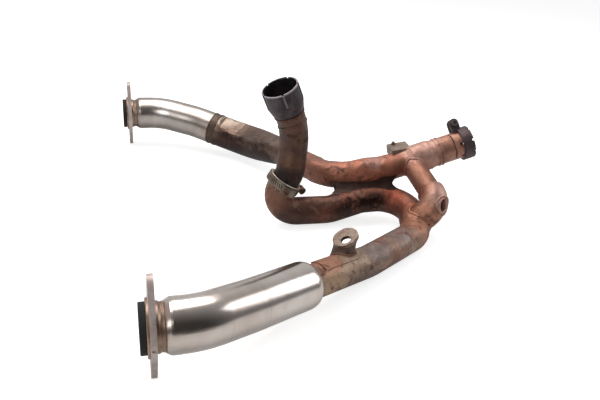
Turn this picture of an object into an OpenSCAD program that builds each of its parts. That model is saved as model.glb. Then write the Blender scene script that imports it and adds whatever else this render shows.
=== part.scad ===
// Twin-inlet motorcycle exhaust header, as one welded assembly.
// Origin: centre of the near port flange's seating face.
// +X runs from the port into the pipe, +Y towards the far port, +Z up.

/* [Ports] */
// Distance between the centres of the two ports
port_spacing = 600; // [570:5:630]
// Width of each port flange across its bore
flange_w = 66; // [63:1:74]
// Thickness of each port flange
flange_t = 5.5; // [4:0.5:8]
// Radius of each flange ear
flange_ear_r = 11; // [9:0.5:12.5]
// Distance between the two stud holes of a flange
stud_spacing = 84; // [80:1:90]
// Diameter of a stud hole
stud_hole_d = 9; // [8:0.5:10]
// Outer diameter of the neck inside the flange
neck_d = 47; // [45.5:0.5:48]
// Length of the neck, from the flange's seating face to the heat cover
neck_len = 13; // [12:0.5:18]
// Radial play between the neck and the flange bore
neck_play = 0.3; // [0.2:0.1:0.6]
// Diameter of the collar that the flange presses on
collar_d = 54; // [52:0.5:57]
// Thickness of the collar
collar_t = 2.5; // [2:0.5:3.5]
// Thickness of the crush gasket
gasket_t = 6; // [4:0.5:8]
// Depth of the small dimple in the flange's edge
dimple_depth = 1.5; // [1:0.5:2]

/* [Pipes] */
// Outer diameter of the header pipe
pipe_d = 38; // [37:0.5:38.5]
// Wall thickness of the pipes
pipe_wall = 1.5; // [1.2:0.1:2]
// Outer diameter of the far pipe's middle run
mid_d = 36; // [35:0.5:37]
// Bend radius of the near pipe's outer corner
corner_r = 46; // [42:1:48]
// Bend radius where the near pipe turns back under the far pipe
return_r = 38; // [36:1:39]
// Bend radius of the elbow below the stub
elbow_r = 27; // [25:0.5:28]

/* [Heat covers] */
// Outer diameter of the polished heat covers
cover_d = 52.5; // [51:0.5:54]
// Wall thickness of the heat covers
cover_wall = 1.2; // [1:0.1:1.5]
// Straight length of the near cover after its last bend
near_cover_tail = 78; // [66:1:84]
// Straight length of the far cover after its last bend
far_cover_tail = 22; // [18:1:26]
// Length of the drawn-in end of the near cover
shoulder_len = 11; // [8:0.5:13]
// Height of the near cover's end ring above the pipe
end_ring_h = 2; // [1:0.2:2.6]
// Width of the near cover's end ring
end_ring_w = 4; // [3:0.5:6]
// Width of the band behind the far cover
far_band_w = 13; // [10:0.5:15]
// Height of the far band above the cover
far_band_h = 0.8; // [0.5:0.1:1.2]

/* [Flattened section] */
// How deep the flat is pressed into the wide section, as a share of its radius
flat_depth = 0.24; // [0.12:0.02:0.3]
// Direction of the flat round the pipe, from the top towards the near side
flat_turn = 22; // [10:2:34]

/* [Collector] */
// Outer diameter of the collector
collector_d = 42; // [40:0.5:43]
// Length of the collector's narrow start
collector_neck = 14; // [10:1:16]
// Length of the collector's full-width part
collector_len = 25; // [22:1:28]
// Outer diameter of the crossover pipe
cross_d = 31; // [29:0.5:32]
// Outer diameter of the crossover's cup
cup_d = 37.5; // [36:0.5:38.5]
// Bend radius of the cup
cup_r = 20.5; // [20:0.5:22]
// Diameter of the sensor port's bore
sensor_d = 16.5; // [14:0.5:17]
// Outer diameter of the sensor port's boss
sensor_boss_d = 22.5; // [21:0.5:24]
// Length of the sensor port's boss
sensor_boss_len = 15; // [13:0.5:17]

/* [Outlet] */
// Outer diameter of the outlet pipe
outlet_d = 38.5; // [37.5:0.5:39.5]
// Length of the outlet pipe
outlet_len = 56; // [52:1:60]
// Height of the rolled bead
bead_h = 1.1; // [0.6:0.1:1.6]
// Depth of the rolled groove
groove_h = 0.7; // [0.4:0.1:0.9]
// Number of slots round the outlet's end
outlet_slots = 6; // [4:1:8]
// Width of a slot in the outlet's end
outlet_slot_w = 4; // [3:0.5:5]
// Length of a slot in the outlet's end
outlet_slot_len = 20; // [19:0.5:22]

/* [Stub] */
// Outer diameter of the stub pipe
stub_d = 38; // [37:0.5:38.4]
// Length of the slotted sleeve on the stub
sleeve_len = 37; // [34:0.5:40]
// Outer diameter of the sleeve at its mouth
sleeve_d = 48; // [46.5:0.5:49.5]
// Outer diameter of the sleeve where it starts
sleeve_root_d = 41.4; // [40:0.2:43]
// Length of the sleeve's flared part
sleeve_flare = 14; // [12:0.5:16]
// Wall thickness of the sleeve
sleeve_wall = 1.9; // [1.5:0.1:2.3]
// Number of slots in the sleeve
sleeve_slots = 5; // [3:1:6]
// Width of a slot in the sleeve
sleeve_slot_w = 2.6; // [2:0.2:3.4]
// Length of a slot in the sleeve
sleeve_slot_len = 21; // [16:1:25]
// Depth to which the stub enters the elbow's socket
socket_depth = 8; // [7:0.5:9]
// Radial play between the stub and the socket
socket_play = 0.3; // [0.2:0.1:0.4]

/* [Clamps] */
// Width of the outlet's band clamp
band_w = 15; // [13:0.5:16]
// Thickness of the outlet's band clamp
band_t = 4; // [3:0.5:5]
// Width of the elbow's band clamp
elbow_band_w = 10; // [8:0.5:11]
// Thickness of the elbow's band clamp
elbow_band_t = 2.4; // [1.6:0.2:3]
// Gap between the ends of a band
band_gap = 7; // [5:0.5:9]
// Diameter of a clamp bolt
clamp_bolt_d = 6; // [5:0.5:7]

/* [Brackets] */
// Outer diameter of the eye bracket's head
eye_d = 30; // [28:0.5:32]
// Diameter of the hole in the eye bracket
eye_hole_d = 12; // [10:0.5:13]
// Thickness of the eye bracket's head plate
eye_plate_t = 4; // [3:0.5:5]
// Distance of the eye bracket's head above the pipe's axis
eye_rise = 41; // [38:0.5:44]
// Wall thickness of the eye bracket's post
post_wall = 2.5; // [2:0.5:3.5]
// Thickness of the saddle sheet under the eye bracket
saddle_t = 1.5; // [1:0.1:2]
// Length of the saddle sheet along the pipe
saddle_len = 56; // [50:1:60]
// Length of the tab bracket on the collector
tab_len = 28; // [24:1:30]
// Depth of the tab bracket
tab_w = 27; // [24:1:30]
// Thickness of the tab bracket
tab_t = 2.5; // [2:0.5:3.5]

/* [Welds] */
// Height of the weld beads
weld_h = 1.3; // [0.8:0.1:1.6]

/* [Hidden] */
$fn = 72;
// Each straight run of a pipe laps its bends by this much, inside a wall thicker by the skin.
lap = 0.5;
skin = 0.1;
// Length of the neck's socket that holds the pipe.
socket_len = 3.5;

pipe_r = pipe_d / 2;
pipe_ri = pipe_r - pipe_wall;
mid_r = mid_d / 2;
mid_ri = mid_r - pipe_wall;
cover_r = cover_d / 2;
neck_r = neck_d / 2;
neck_ri = neck_r - 2 * pipe_wall;
collector_r = collector_d / 2;
collector_ri = collector_r - pipe_wall;
cross_r = cross_d / 2;
cross_ri = cross_r - pipe_wall;
cup_outer_r = cup_d / 2;
cup_inner_r = cup_outer_r - 2 * pipe_wall;
outlet_r = outlet_d / 2;
outlet_ri = outlet_r - pipe_wall;
stub_r = stub_d / 2;
stub_ri = stub_r - pipe_wall;
socket_ri = stub_r + socket_play;
socket_r = socket_ri + 2;
sleeve_bore_r = sleeve_d / 2 - sleeve_wall;

// Corner points and bend radii of each route. The first and the last point are its ends.
near_pts = [[0, 0, 0], [neck_len + 32, 0, 0], [98, 30, -9], [256, 120, -30], [349, 182, -35],
            [378, 275, -25], [302, 270, -24], [256, 267, -35], [164, 271, -35], [194, 267.4, 17]];
near_rad = [0, 66, 160, 100, corner_r, return_r, 60, 50, elbow_r, 0];

// The far pipe passes over the near one and rises with their radii.
over_rise = (pipe_d + mid_d) / 2 - 37;
crossing_y = 293;
far_fall = port_spacing - crossing_y;
far_pts = [[0, port_spacing, 0], [neck_len + 43, port_spacing, 0], [112, port_spacing - 30, -8],
           [186, crossing_y + far_fall * 225 / 307, -24],
           [226, crossing_y + far_fall * 131 / 307, -10],
           [264, crossing_y, 1 + over_rise], [352, 290, 14 + over_rise], [480, 280, 58 + over_rise]];
far_rad = [0, 90, 150, 120, 150, 50, 100, 0];

cross_pts = [[379, 288, 23.3 + over_rise], [384.3, 199.2, -2.4], [359, 208, -33]];
cross_rad = [0, cup_r, 0];

// Geometry of a route.
function unit(v) = v / norm(v);
function leg_dir(P, i) = unit(P[i + 1] - P[i]);
function turn(P, i) = acos(min(1, leg_dir(P, i - 1) * leg_dir(P, i)));
function cut(P, R, i) = i == 0 || i == len(P) - 1 ? 0 : R[i] * tan(turn(P, i) / 2);
function leg_start(P, R, i) = P[i] + leg_dir(P, i) * cut(P, R, i);
function leg_end(P, R, i) = P[i + 1] - leg_dir(P, i) * cut(P, R, i + 1);
function leg_len(P, R, i) = norm(leg_end(P, R, i) - leg_start(P, R, i));
function bend_centre(P, R, i) =
    P[i] + unit(leg_dir(P, i) - leg_dir(P, i - 1)) * (R[i] / cos(turn(P, i) / 2));
// Angles that turn the axes onto x and z, with y left over.
function angles(x, z) = let (y = cross(z, x)) [atan2(y[2], z[2]), -asin(x[2]), atan2(x[1], x[0])];
// A point on bend i, after a share t of its turn, and its direction there.
function bend_x(P, R, i) = unit(leg_end(P, R, i - 1) - bend_centre(P, R, i));
function bend_point(P, R, i, t) = let (a = t * turn(P, i))
    bend_centre(P, R, i) + R[i] * (bend_x(P, R, i) * cos(a) + leg_dir(P, i - 1) * sin(a));
function bend_dir(P, R, i, t) = let (a = t * turn(P, i))
    leg_dir(P, i - 1) * cos(a) - bend_x(P, R, i) * sin(a);

// Places children with their z axis along d.
module aim(p, d) {
    translate(p) rotate([0, acos(d[2]), atan2(d[1], d[0])]) children();
}

// Places children with their z axis along d and their x axis as near as can be to side.
module aim_side(p, d, side) {
    x = unit(side - d * (side * d));
    translate(p) rotate(angles(x, d)) children();
}

module ring(ro, ri) {
    difference() {
        circle(r = ro);
        if (ri > 0) circle(r = ri);
    }
}

module tube(h, ro, ri) {
    linear_extrude(height = h) ring(ro, ri);
}

// Straight leg i of a route: starts after a, stops after length h if given.
module leg(P, R, i, ro, ri, a = 0, h = undef) {
    d = leg_dir(P, i);
    full = leg_len(P, R, i) - a;
    aim(leg_start(P, R, i) + d * a, d) tube(h == undef ? full : h, ro, ri);
}

module bend(P, R, i, ro, ri) {
    x = bend_x(P, R, i);
    z = cross(x, leg_dir(P, i - 1));
    translate(bend_centre(P, R, i)) rotate(angles(x, z)) rotate_extrude(angle = turn(P, i))
        translate([R[i], 0]) ring(ro - skin, ri > 0 ? ri + skin : 0);
}

// Legs and bends of a route in one run: step 2i is leg i, step 2i-1 is bend i.
module run(P, R, ro, ri, first, last, a = 0, h = undef) {
    for (e = [first : last])
        if (e % 2 == 1) bend(P, R, (e + 1) / 2, ro, ri);
        else {
            i = e / 2;
            before = e == first ? -a : lap;
            after = e == last ? 0 : lap;
            stop = e == last && h != undef ? h : leg_len(P, R, i);
            leg(P, R, i, ro, ri, -before, stop + before + after);
        }
}

// Port parts, used twice.
module flange() {
    rotate([90, 0, 90]) difference() {
        linear_extrude(height = flange_t) hull() {
            circle(d = flange_w);
            for (s = [-1, 1]) translate([0, s * (stud_spacing / 2 + 1)]) circle(r = flange_ear_r);
        }
        translate([0, 0, -1]) cylinder(h = flange_t + 2, r = neck_r + neck_play);
        for (s = [-1, 1]) translate([0, s * stud_spacing / 2, -1])
            cylinder(h = flange_t + 2, d = stud_hole_d);
        translate([-flange_w / 2 - 1, 0, flange_t / 2]) rotate([0, 90, 0])
            cylinder(h = dimple_depth + 1, d = flange_t * 0.7);
    }
}

// Crush gasket, on the collar's outer face.
module gasket() {
    translate([-collar_t - gasket_t, 0, 0]) rotate([90, 0, 90]) rotate_extrude()
        polygon([[neck_ri, 0], [neck_r - 0.6, 0], [neck_r, 0.6], [neck_r, gasket_t - 0.6],
                 [neck_r - 0.6, gasket_t], [neck_ri, gasket_t]]);
}

// Collar and neck, turned in one piece with the step that holds the pipe.
module neck() {
    translate([-collar_t, 0, 0]) rotate([90, 0, 90]) rotate_extrude()
        polygon([[neck_ri, 0], [collar_d / 2 - 0.8, 0], [collar_d / 2, 0.8],
                 [collar_d / 2, collar_t], [neck_r, collar_t],
                 [neck_r, collar_t + neck_len - 5], [neck_r - 1.2, collar_t + neck_len - 3],
                 [neck_r - 0.6, collar_t + neck_len], [pipe_r, collar_t + neck_len],
                 [pipe_r, collar_t + neck_len - socket_len],
                 [neck_ri, collar_t + neck_len - socket_len - 1.5]]);
}

// Flared start of a heat cover, from the neck up to its full diameter.
module cover_flare() {
    translate([neck_len, 0, 0]) rotate([90, 0, 90]) rotate_extrude()
        polygon([[neck_r - 0.6 - cover_wall, 0], [neck_r - 0.6, 0], [neck_r + 0.6, 1.2],
                 [cover_r - 1, 3.6], [cover_r - 0.3, 5], [cover_r, 7], [cover_r - cover_wall, 7],
                 [cover_r - cover_wall - 0.3, 5.4], [cover_r - cover_wall - 1, 4.4],
                 [neck_r - cover_wall, 2]]);
}
flare_len = 7;

// Near side.
near_tail_len = near_cover_tail - shoulder_len;
near_tail_dir = leg_dir(near_pts, 2);
near_tail_end = leg_start(near_pts, near_rad, 2) + near_tail_dir * near_cover_tail;
end_ring_r = pipe_r + end_ring_h;

module near_flange() { color("#b9aea6") flange(); }

module near_gasket() { color("#17181a") gasket(); }

module near_neck() { color("#8a7668") neck(); }

module near_cover() {
    color("#d9d5cf") {
        cover_flare();
        run(near_pts, near_rad, cover_r, cover_r - cover_wall, 0, 4, neck_len + flare_len, near_tail_len);
        // Drawn-in end, down onto the pipe.
        aim(near_tail_end - near_tail_dir * shoulder_len, near_tail_dir) rotate_extrude()
            polygon(concat(
                [[cover_r - cover_wall + skin, -lap], [cover_r - skin, -lap]],
                [for (a = [0 : 9 : 90]) [end_ring_r + (cover_r - skin - end_ring_r) * cos(a),
                                         shoulder_len * sin(a)]],
                [[pipe_r, shoulder_len], [pipe_r, shoulder_len - cover_wall]],
                [for (a = [81 : -9 : 0]) [end_ring_r - cover_wall + skin + (cover_r - end_ring_r) * cos(a),
                                          (shoulder_len - cover_wall) * sin(a)]]));
    }
}

module near_end_ring() {
    color("#a08d7d") aim(near_tail_end, near_tail_dir) rotate_extrude()
        polygon([[pipe_r, 0], [end_ring_r, 0], [end_ring_r, end_ring_w - 1.4],
                 [end_ring_r - 1.2, end_ring_w - 0.6], [pipe_r + 0.6, end_ring_w], [pipe_r, end_ring_w]]);
}

// From the neck's socket, inside the cover, to the outer corner.
module near_pipe() {
    color("#8f7a66") run(near_pts, near_rad, pipe_r, pipe_ri, 0, 6, neck_len - socket_len);
}

module near_return_shape(ro, ri) {
    run(near_pts, near_rad, ro, ri, 7, 9);
}

// Outer corner and the turn back, with the hole for the crossover's cup.
module near_return_bend() {
    color("#b5623f") difference() {
        near_return_shape(pipe_r, pipe_ri);
        cup_leg(cup_inner_r, 0);
    }
}

module under_shape(ro, ri) {
    run(near_pts, near_rad, ro, ri, 10, 14);
}

module under_pipe() { color("#4b3329") under_shape(pipe_r, pipe_ri); }

// Elbow, its clamp and the stub.
elbow_dir = leg_dir(near_pts, 8);
elbow_top = leg_start(near_pts, near_rad, 8);
socket_end = elbow_top + elbow_dir * (socket_depth + 2);
// Direction, square to the elbow's axis, that faces the clamp's screw.
elbow_side = [1, 0.4, 0];

module stub_elbow() {
    color("#5d3f33") {
        bend(near_pts, near_rad, 8, pipe_r, pipe_ri);
        difference() {
            aim(elbow_top, elbow_dir) rotate_extrude()
                polygon([[pipe_ri, -lap], [pipe_r, -lap], [pipe_r, 0], [socket_r, 2.2],
                         [socket_r, socket_depth + 2], [socket_ri, socket_depth + 2],
                         [socket_ri, 2], [pipe_ri, 2]]);
            aim_side(elbow_top, elbow_dir, elbow_side) for (a = [0, 180])
                rotate([0, 0, a]) translate([0, -1.5, 5]) cube([socket_r + 2, 3, socket_depth]);
        }
    }
}

elbow_band_z = socket_depth + 1 - elbow_band_w;
elbow_band_r = socket_r + elbow_band_t;
lug_h = 9;

module band(ro, ri, w, gap) {
    difference() {
        tube(w, ro, ri);
        translate([0, -gap / 2, -1]) cube([ro + 1, gap, w + 2]);
    }
}

module elbow_frame() {
    aim_side(elbow_top + elbow_dir * elbow_band_z, elbow_dir, elbow_side) children();
}

module elbow_band() {
    color("#a39a8c") elbow_frame() band(elbow_band_r, socket_r, elbow_band_w, band_gap);
}

// Two upright ears at the band's ends, joined to its outside, with round trunnions.
module lugs(r, w, gap, reach, bolt_d, t) {
    for (s = [-1, 1]) difference() {
        union() {
            translate([r - t, s * (gap / 2 + t / 2) - t / 2, 0]) cube([reach + t, t, w]);
            translate([r + reach, s * (gap / 2 + t / 2), w / 2]) rotate([90, 0, 0])
                cylinder(h = t, r = w / 2, center = true);
        }
        translate([r + reach - 0.5, 0, w / 2]) rotate([90, 0, 0])
            cylinder(h = gap + 4 * t, d = bolt_d + 0.4, center = true);
        cylinder(h = 3 * w, r = r, center = true);
    }
}

module elbow_band_lugs() {
    color("#8d8577") elbow_frame()
        lugs(elbow_band_r, elbow_band_w, band_gap, lug_h - 2, clamp_bolt_d, 3);
}

// Bolt through two ears, its head on the near side, as seen from the band's frame.
module ear_bolt(r, w, gap, reach, bolt_d, t, head_d, head_h) {
    translate([r + reach - 0.5, 0, w / 2]) rotate([90, 0, 0]) {
        translate([0, 0, -gap / 2 - t - 6]) cylinder(h = gap + 2 * t + 6, d = bolt_d);
        translate([0, 0, gap / 2 + t]) difference() {
            cylinder(h = head_h, d = head_d);
            translate([0, 0, head_h - 2.5]) cylinder(h = 4, d = head_d * 0.55, $fn = 6);
        }
    }
}

module ear_nut(r, w, gap, reach, bolt_d, t) {
    translate([r + reach - 0.5, -gap / 2 * 0, w / 2]) rotate([90, 0, 0])
        translate([0, 0, -gap / 2 - t - 5]) difference() {
            cylinder(h = 5, d = bolt_d * 1.8, $fn = 6);
            translate([0, 0, -1]) cylinder(h = 7, d = bolt_d);
        }
}

module elbow_bolt() {
    color("#6e5a4a") elbow_frame()
        ear_bolt(elbow_band_r, elbow_band_w, band_gap, lug_h - 2, clamp_bolt_d, 3, 10, 6);
}

module elbow_nut() {
    color("#7a6a5c") elbow_frame()
        ear_nut(elbow_band_r, elbow_band_w, band_gap, lug_h - 2, clamp_bolt_d, 3);
}

// Bent tab over the band's front, with its rivet's head.
tab_side = [-0.1, -1, 0];
tab_arc = 48;

module elbow_band_tab() {
    color("#a39a8c") aim_side(elbow_top + elbow_dir * (elbow_band_z - 1.5), elbow_dir, tab_side)
        rotate([0, 0, -tab_arc / 3]) rotate_extrude(angle = tab_arc)
            translate([elbow_band_r, 0]) square([elbow_band_t, elbow_band_w]);
}

module elbow_band_rivet() {
    x = unit(tab_side - elbow_dir * (elbow_dir * tab_side));
    r = elbow_band_r + elbow_band_t;
    color("#6a4a3a") difference() {
        aim(elbow_top + elbow_dir * (elbow_band_z - 1.5 + elbow_band_w / 2) + x * (r - 1), x)
            rotate_extrude() polygon([[0, 0], [4.2, 0], [4.2, 3], [3.4, 4], [1.8, 4], [1.8, 3], [0, 3]]);
        aim(elbow_top, elbow_dir) cylinder(r = r, h = 60, center = true);
    }
}

// The stub's first leg runs along the elbow's axis, up from the bottom of the socket.
stub_route = [elbow_top + elbow_dir * 2.2, elbow_top + elbow_dir * 19, [204, 277, 78], [177, 269, 138]];
// Its upper bend leaves a straight run that the sleeve fits on.
stub_room = norm(stub_route[3] - stub_route[2]) - sleeve_len - 3.5;
stub_rad = [0, 30, min(80, stub_room / tan(turn(stub_route, 2) / 2)), 0];
stub_top_dir = leg_dir(stub_route, 2);
sleeve_start = stub_route[3] - stub_top_dir * sleeve_len;
stub_last = leg_len(stub_route, stub_rad, 2) - sleeve_len;

module stub_pipe() {
    color("#4a3b35") run(stub_route, stub_rad, stub_r, stub_ri, 0, 4, 0, stub_last);
}

module slotted_sleeve() {
    color("#3d3a3c") aim_side(sleeve_start, stub_top_dir, [-0.14, -1, 0]) difference() {
        rotate_extrude() polygon([[stub_ri, 0], [stub_r, 0], [sleeve_root_d / 2, 2.5],
            [sleeve_d / 2 - 0.6, sleeve_flare - 2], [sleeve_d / 2, sleeve_flare + 1],
            [sleeve_d / 2, sleeve_len - 0.6], [sleeve_d / 2 - 0.6, sleeve_len],
            [sleeve_bore_r, sleeve_len], [sleeve_bore_r, sleeve_flare], [stub_ri, 2]]);
        // Each slot is lined inside; only its end at the mouth goes through.
        for (k = [0 : sleeve_slots - 1]) rotate([0, 0, k * 360 / sleeve_slots]) {
            translate([sleeve_d / 2 - sleeve_wall * 0.55, -sleeve_slot_w / 2, sleeve_len - sleeve_slot_len])
                cube([sleeve_d, sleeve_slot_w, sleeve_slot_len + 1]);
            translate([0, -sleeve_slot_w / 2, sleeve_len - 1.8]) cube([sleeve_d, sleeve_slot_w, 3]);
        }
    }
}

// Weld bead round the pipe where two ends meet.
module weld_ring(r) {
    rotate_extrude() polygon([[r, -1.6], [r + weld_h * 0.7, -1.1], [r + weld_h, 0],
                              [r + weld_h * 0.7, 1.1], [r, 1.6]]);
}

module sleeve_weld() {
    color("#5a4a44") aim(sleeve_start - stub_top_dir * 1.7, stub_top_dir) weld_ring(stub_r);
}

// Far side.
far_tail_dir = leg_dir(far_pts, 2);
far_tail_end = leg_start(far_pts, far_rad, 2) + far_tail_dir * far_cover_tail;
wide_start = far_tail_end + far_tail_dir * far_band_w;
mid_start = 22;

module far_place() { translate([0, port_spacing, 0]) children(); }

module far_flange() { color("#b9aea6") far_place() flange(); }

module far_gasket() { color("#17181a") far_place() gasket(); }

module far_neck() { color("#8a7668") far_place() neck(); }

module far_cover() {
    color("#d9d5cf") {
        far_place() cover_flare();
        run(far_pts, far_rad, cover_r, cover_r - cover_wall, 0, 4, neck_len + flare_len, far_cover_tail);
    }
}

// Inner pipe under the far cover, opened out to the band at its end.
module far_pipe() {
    open_r = cover_r - cover_wall;
    color("#8f7a66") {
        run(far_pts, far_rad, pipe_r, pipe_ri, 0, 4, neck_len - socket_len, far_cover_tail);
        aim(far_tail_end, far_tail_dir) rotate_extrude()
            polygon([[pipe_ri + skin, -lap], [pipe_r - skin, -lap], [pipe_r - skin, 0],
                     [open_r, far_band_w - 2], [open_r, far_band_w],
                     [open_r - pipe_wall, far_band_w], [open_r - pipe_wall, far_band_w - 2],
                     [pipe_ri + skin, 0]]);
    }
}

// Band with two rolled edges, between the cover and the wide section.
module far_band() {
    color("#8c7767") aim(far_tail_end, far_tail_dir) rotate_extrude()
        polygon([[cover_r - cover_wall, 0], [cover_r + far_band_h, 0], [cover_r + far_band_h, 1.6],
                 [cover_r + 0.1, 2.4], [cover_r + 0.1, far_band_w - 3.4],
                 [cover_r + far_band_h, far_band_w - 2.6], [cover_r + far_band_h, far_band_w - 1],
                 [cover_r, far_band_w], [cover_r - cover_wall, far_band_w]]);
}

// Stations of the wide section: rest of leg 2, bend 3, leg 3, bend 4 and the start of leg 4.
function steps(n) = [for (k = [0 : n - 1]) k / n];
wide_leg2 = leg_end(far_pts, far_rad, 2) - wide_start;
wide_path = concat(
    [for (t = steps(3)) [wide_start + wide_leg2 * t, far_tail_dir]],
    [for (t = steps(6)) [bend_point(far_pts, far_rad, 3, t), bend_dir(far_pts, far_rad, 3, t)]],
    [for (t = steps(6)) [leg_start(far_pts, far_rad, 3)
        + leg_dir(far_pts, 3) * leg_len(far_pts, far_rad, 3) * t, leg_dir(far_pts, 3)]],
    [for (t = steps(4)) [bend_point(far_pts, far_rad, 4, t), bend_dir(far_pts, far_rad, 4, t)]],
    [for (t = [0 : 0.25 : 1]) [leg_start(far_pts, far_rad, 4)
        + leg_dir(far_pts, 4) * mid_start * t, leg_dir(far_pts, 4)]]);
wide_n = len(wide_path);
wide_facets = 48;
function smooth(t) = t <= 0 ? 0 : t >= 1 ? 1 : t * t * (3 - 2 * t);
// Share of the way along the section, from its start to its end.
function share(k) = k / (wide_n - 1);
function wide_r(k, ro, r1) = ro + (r1 - ro) * smooth((share(k) - 0.3) / 0.7);
function flat_at(k) = 1 - flat_depth * smooth(share(k) / 0.28) * smooth((0.82 - share(k)) / 0.3);
// The flat is the side of the circle cut back to a chord, with a soft edge.
function wide_point(k, a, r0, r1, inset) = let (
    p = wide_path[k][0], d = wide_path[k][1],
    side = unit(cross(d, [0, 0, 1])), up = cross(side, d),
    r = wide_r(k, r0, r1),
    c = cos(a - flat_turn),
    f = c > 0.3 ? min(r, r * flat_at(k) / c) : r)
    p + (up * cos(a) + side * sin(a)) * (f - inset);

module wide_shell(r0, r1, inset) {
    pts = [for (k = [0 : wide_n - 1]) for (j = [0 : wide_facets - 1])
           wide_point(k, j * 360 / wide_facets, r0, r1, inset)];
    m = wide_facets;
    sides = [for (k = [0 : wide_n - 2]) for (j = [0 : m - 1]) for (h = [0, 1])
             h == 0 ? [k * m + j, k * m + (j + 1) % m, (k + 1) * m + (j + 1) % m]
                    : [k * m + j, (k + 1) * m + (j + 1) % m, (k + 1) * m + j]];
    polyhedron(points = pts, faces = concat([[for (j = [m - 1 : -1 : 0]) j]], sides,
               [[for (j = [0 : m - 1]) (wide_n - 1) * m + j]]), convexity = 6);
}

// Hollow section with a pressed flat, drawn down to the middle pipe's diameter.
module far_wide_pipe() {
    pts = concat(
        [for (k = [0 : wide_n - 1]) for (j = [0 : wide_facets - 1])
            wide_point(k, j * 360 / wide_facets, cover_r, mid_r, 0)],
        [for (k = [0 : wide_n - 1]) for (j = [0 : wide_facets - 1])
            wide_point(k, j * 360 / wide_facets, cover_r, mid_r, pipe_wall)]);
    m = wide_facets;
    q = wide_n * m;
    last = (wide_n - 1) * m;
    color("#7d5f4e") polyhedron(points = pts, convexity = 8, faces = [
        for (k = [0 : wide_n - 2]) for (j = [0 : m - 1]) for (h = [0 : 3]) let (
            a = k * m + j, b = k * m + (j + 1) % m, c = (k + 1) * m + (j + 1) % m, d = (k + 1) * m + j)
            h == 0 ? [a, b, c] : h == 1 ? [a, c, d]
            : h == 2 ? [q + a, q + c, q + b] : [q + a, q + d, q + c],
        for (j = [0 : m - 1]) for (h = [0 : 3]) let (b = (j + 1) % m)
            h == 0 ? [j, q + j, q + b] : h == 1 ? [j, q + b, b]
            : h == 2 ? [last + j, q + last + b, q + last + j] : [last + j, last + b, q + last + b]]);
}

collector_start = 1;
collector_cone = 7;
collector_wide = collector_neck + collector_cone;
far_end_dir = leg_dir(far_pts, 6);
collector_pos = leg_start(far_pts, far_rad, 6) + far_end_dir * collector_start;
collector_full = collector_neck + collector_len + 2 * collector_cone;
outlet_pos = collector_pos + far_end_dir * collector_full;
outlet_far = outlet_pos + far_end_dir * outlet_len;

module far_mid_shape(ro, ri) {
    run(far_pts, far_rad, ro, ri, 8, 12, mid_start, collector_start);
}

module far_mid_pipe() { color("#a8613f") far_mid_shape(mid_r, mid_ri); }

// Sheet web that ties the far pipe to the pipe passing under it: its four corners.
web_corners = [[266, 268, -33], [268, 292, 3 + over_rise], [350, 290, 14 + over_rise], [350, 264, -26]];
web_t = 9;

module pipe_web() {
    $fn = 180;
    color("#3f2a22") difference() {
        hull() for (c = web_corners) translate(c) cube([1, web_t, 1], center = true);
        far_mid_shape(mid_r, 0);
        under_shape(pipe_r, 0);
        near_return_shape(pipe_r, 0);
    }
}

// Collector, outlet and crossover.
module collector_solid() {
    aim(collector_pos, far_end_dir) rotate_extrude()
        polygon([[0, 0], [mid_r, 0], [mid_r, collector_neck], [collector_r - 0.8, collector_wide - 2],
                 [collector_r, collector_wide], [collector_r, collector_wide + collector_len],
                 [collector_r - 0.8, collector_wide + collector_len + 2],
                 [outlet_r, collector_full], [0, collector_full]]);
}

module collector() {
    color("#b5806a") difference() {
        collector_solid();
        aim(collector_pos, far_end_dir) rotate_extrude()
            polygon([[0, -1], [mid_ri, -1], [mid_ri, collector_neck], [collector_ri, collector_wide],
                     [collector_ri, collector_wide + collector_len], [outlet_ri, collector_full],
                     [outlet_ri, collector_full + 1], [0, collector_full + 1]]);
        cross_leg(cross_ri);
    }
}

cup_lead = 3;
cross_rim = leg_end(cross_pts, cross_rad, 0) - leg_dir(cross_pts, 0) * cup_lead;

// Solid of the crossover's straight run, from the collector's axis to the cup's rim.
module cross_leg(r) {
    aim(cross_pts[0], leg_dir(cross_pts, 0)) cylinder(r = r, h = norm(cross_rim - cross_pts[0]));
}

module crossover_pipe() {
    color("#b0664a") difference() {
        cross_leg(cross_r);
        cross_leg_bore();
        collector_solid();
    }
}

module cross_leg_bore() {
    aim(cross_pts[0] - leg_dir(cross_pts, 0), leg_dir(cross_pts, 0))
        cylinder(r = cross_ri, h = norm(cross_rim - cross_pts[0]) + 2);
}

module cup_leg(r, ri) {
    leg(cross_pts, cross_rad, 1, r, ri);
}

// The cup's run starts at its rim, on the crossover's last straight bit.
module cup_run(ro, ri) {
    run(cross_pts, cross_rad, ro, ri, 0, 2, norm(cross_rim - cross_pts[0]));
}

sensor_dir = unit([0.56, -0.8, 0.22]);
sensor_face = [388, 192.6, -1.2];

module crossover_cup() {
    color("#b39a8b") difference() {
        union() {
            cup_run(cup_outer_r, cup_inner_r);
            aim(cross_rim, leg_dir(cross_pts, 0)) tube(2, cup_outer_r - 0.5, cross_ri);
        }
        near_return_shape(pipe_r, 0);
        aim(sensor_face - sensor_dir * sensor_boss_len, sensor_dir)
            cylinder(d = sensor_boss_d, h = sensor_boss_len + 10);
    }
}

module sensor_boss() {
    color("#9d8676") aim(sensor_face - sensor_dir * sensor_boss_len, sensor_dir) rotate_extrude()
        polygon([[sensor_d / 2, 0], [sensor_boss_d / 2, 0], [sensor_boss_d / 2, sensor_boss_len - 1],
                 [sensor_boss_d / 2 - 1, sensor_boss_len], [sensor_d / 2 + 0.8, sensor_boss_len],
                 [sensor_d / 2, sensor_boss_len - 0.8]]);
}

// Bead round the cup's rim, on the crossover pipe.
module cup_weld() {
    color("#8b5a45") aim(cross_rim - leg_dir(cross_pts, 0) * 1.7, leg_dir(cross_pts, 0)) weld_ring(cross_r);
}

outlet_bead = 4.5;
outlet_groove = outlet_len - 27.5;
outlet_side = [-0.24, 0.52, 0.82];

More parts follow.
